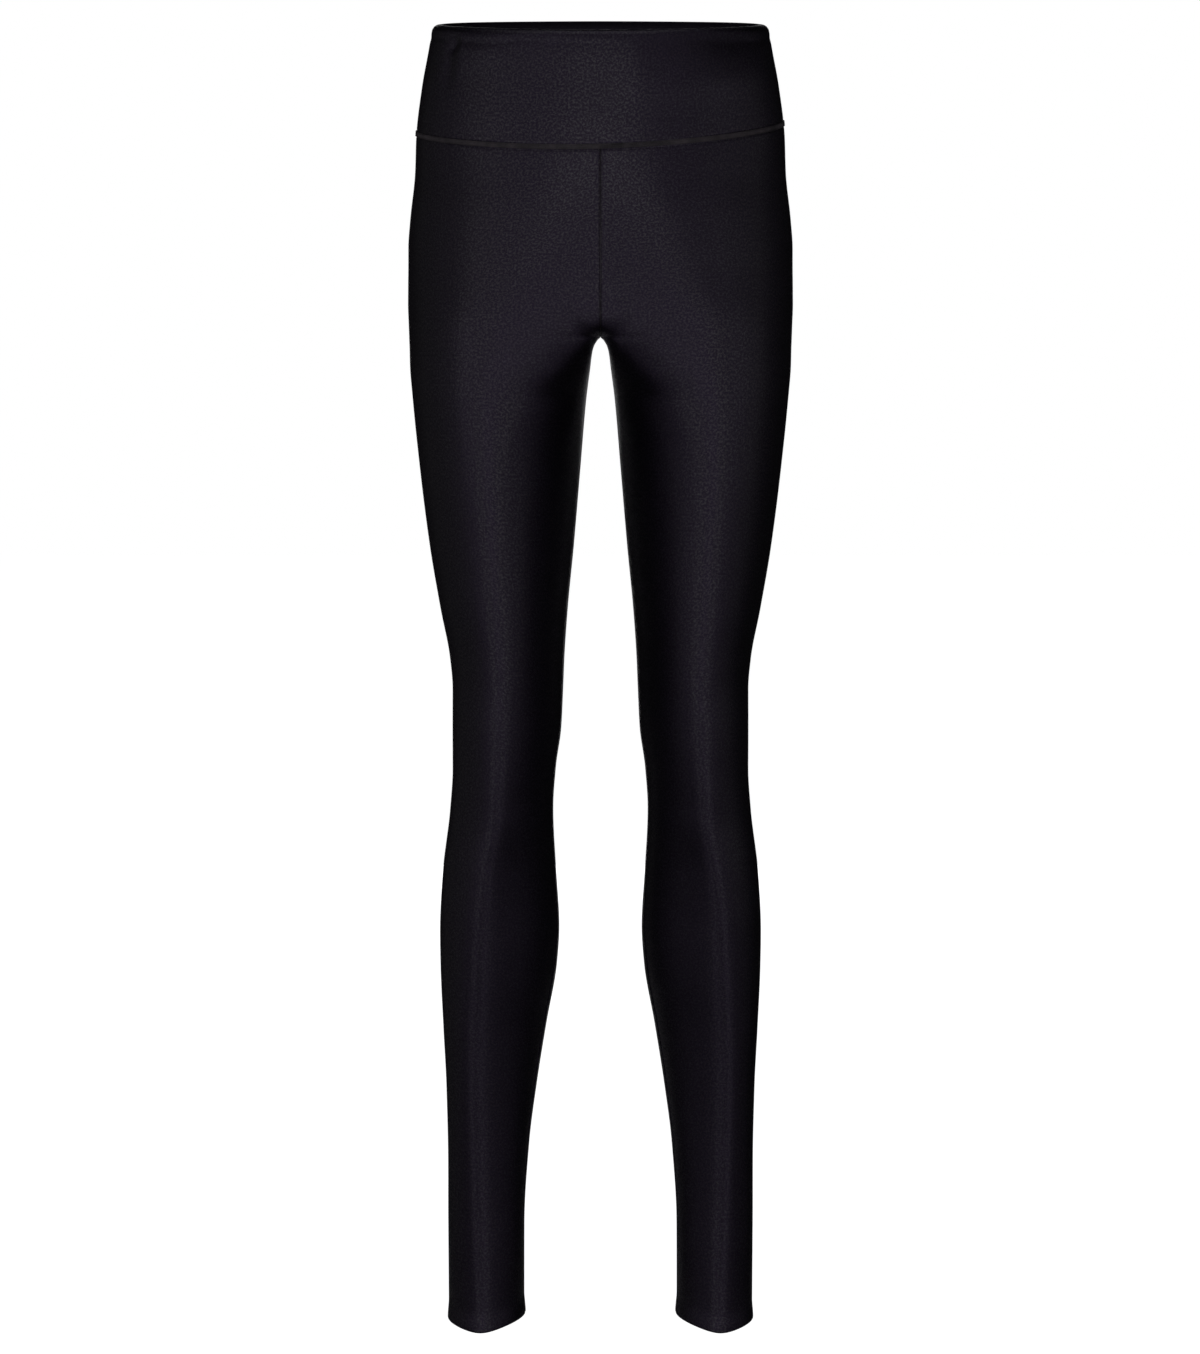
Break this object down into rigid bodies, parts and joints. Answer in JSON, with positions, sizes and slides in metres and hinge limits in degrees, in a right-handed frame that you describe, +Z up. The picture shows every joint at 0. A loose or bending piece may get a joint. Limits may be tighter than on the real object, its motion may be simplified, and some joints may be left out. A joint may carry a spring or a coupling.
{
  "type": "leggings",
  "caption": "Full-length high-waisted leggings in glossy black knit, filled out and hollow, with a wide elastic-topped waistband, a raised waist seam and turned hems.",
  "frame": {"origin": "middle of the waist opening, at the height that its top edge has at the sides", "axes": "+Z up along the body, -Y the front, +X the wearer's left"},
  "size_m": [0.2908, 0.2154, 0.9952],
  "materials": {
    "glossy_knit": "fine smooth knit with a wet-looking gloss, black with a faint violet cast",
    "waistband_knit": "the same glossy black knit, cut double over an elastic"
  },
  "bodies": {
    "root": {"left_leg": "glossy_knit", "right_leg": "glossy_knit", "waistband_front": "waistband_knit", "waistband_back": "waistband_knit"}
  },
  "joints": []
}
